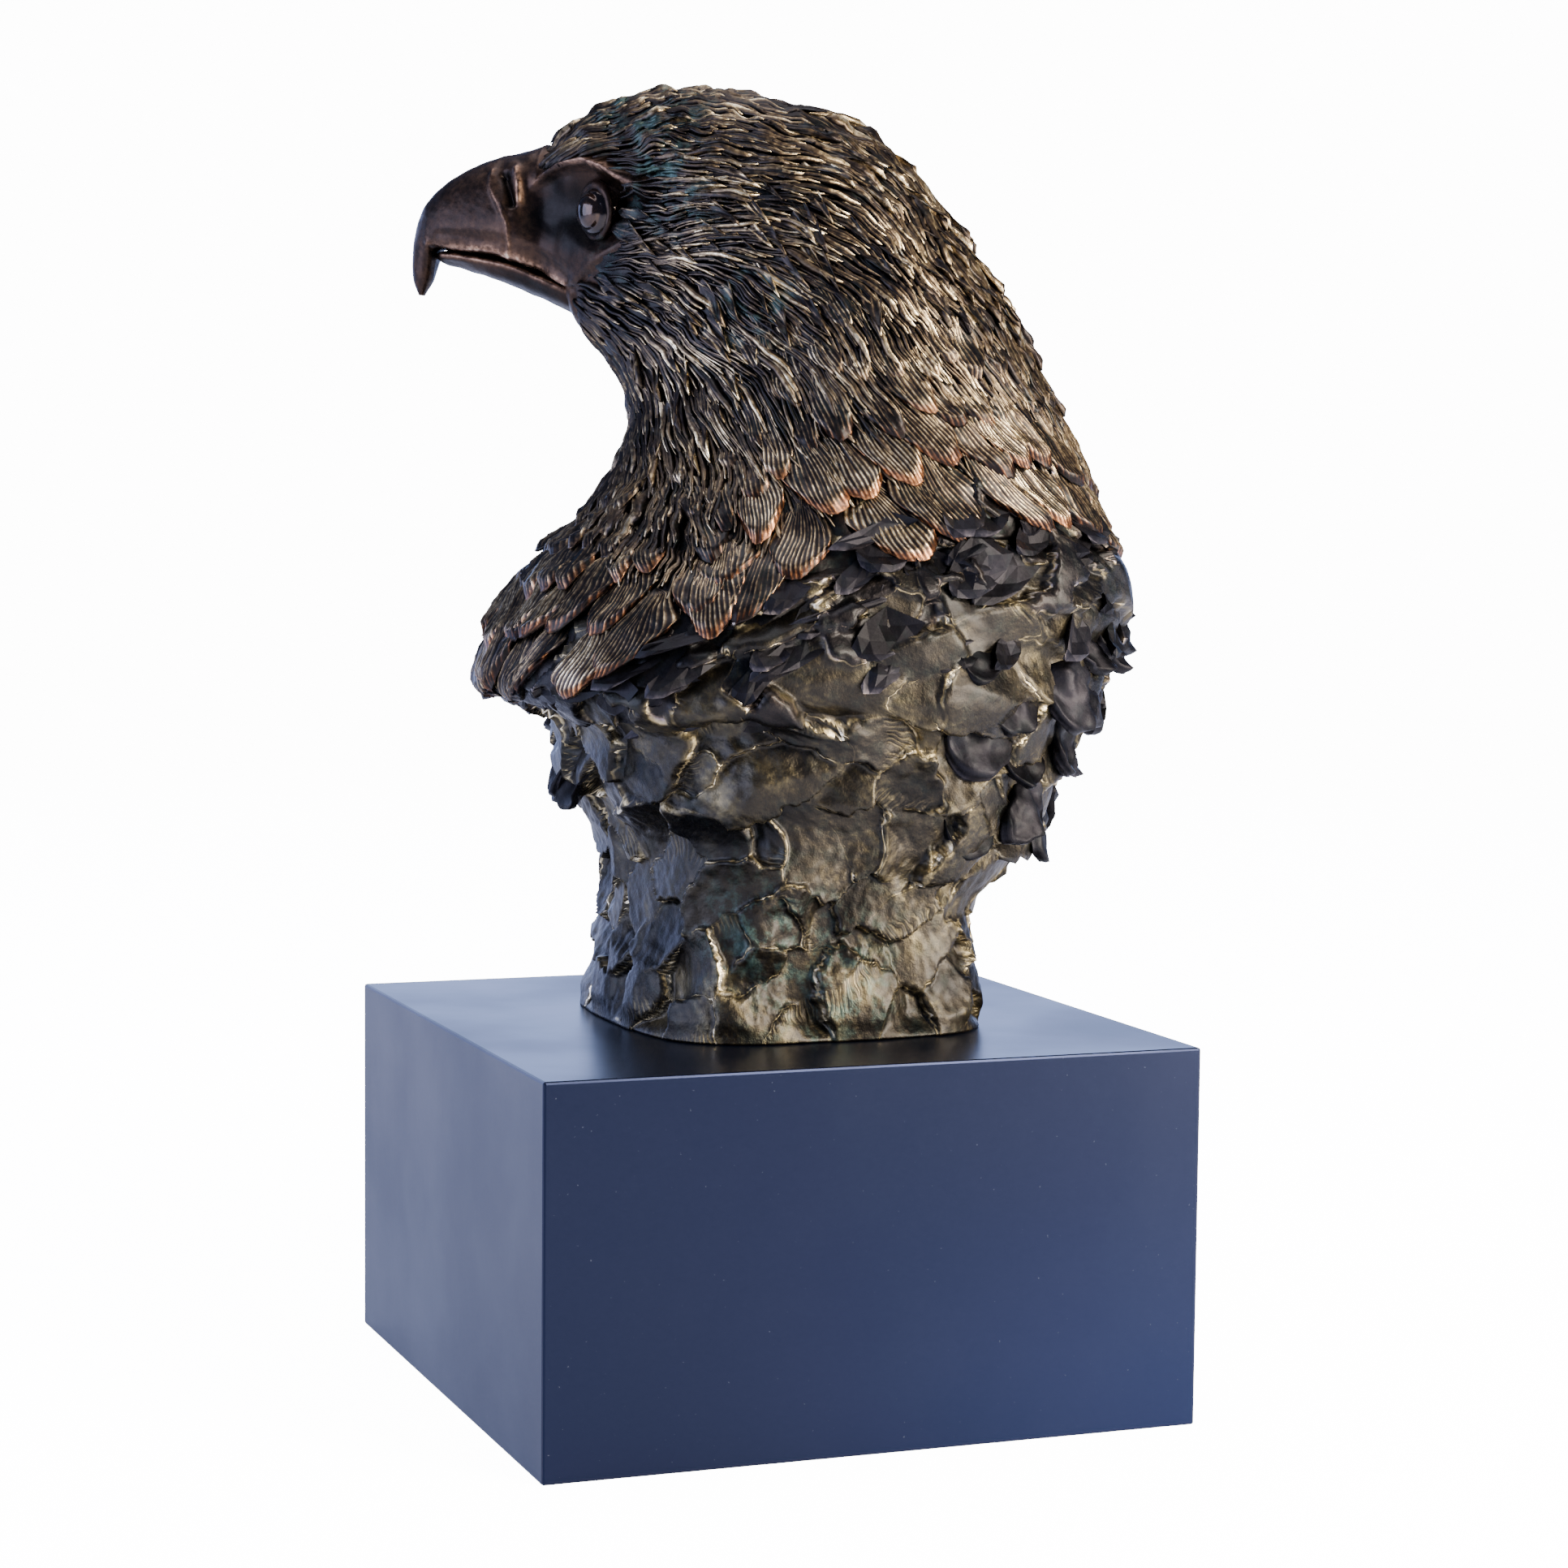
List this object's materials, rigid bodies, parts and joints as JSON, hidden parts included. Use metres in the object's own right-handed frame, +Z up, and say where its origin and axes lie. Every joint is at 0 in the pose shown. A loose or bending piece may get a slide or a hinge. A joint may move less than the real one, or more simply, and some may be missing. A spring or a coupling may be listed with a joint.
{
  "type": "eagle head sculpture",
  "caption": "Cast bust of an eagle's head and feathered neck rising from a torn clay column, on a square lacquered plinth.",
  "frame": {"origin": "middle of the plinth's flat underside", "axes": "+Z up; the eagle's chest faces -Y and its left side +X, with its head turned about 33 degrees towards -X; the plinth's sides lie along X and Y"},
  "size_m": [0.15, 0.1611, 0.2971],
  "materials": {
    "patinated_bronze": "dark brown patina, rubbed to bright copper on raised edges, with green verdigris in places",
    "black_lacquer": "satin black lacquer"
  },
  "bodies": {
    "root": {"eagle_bust": "patinated_bronze", "plinth": "black_lacquer"}
  },
  "joints": []
}
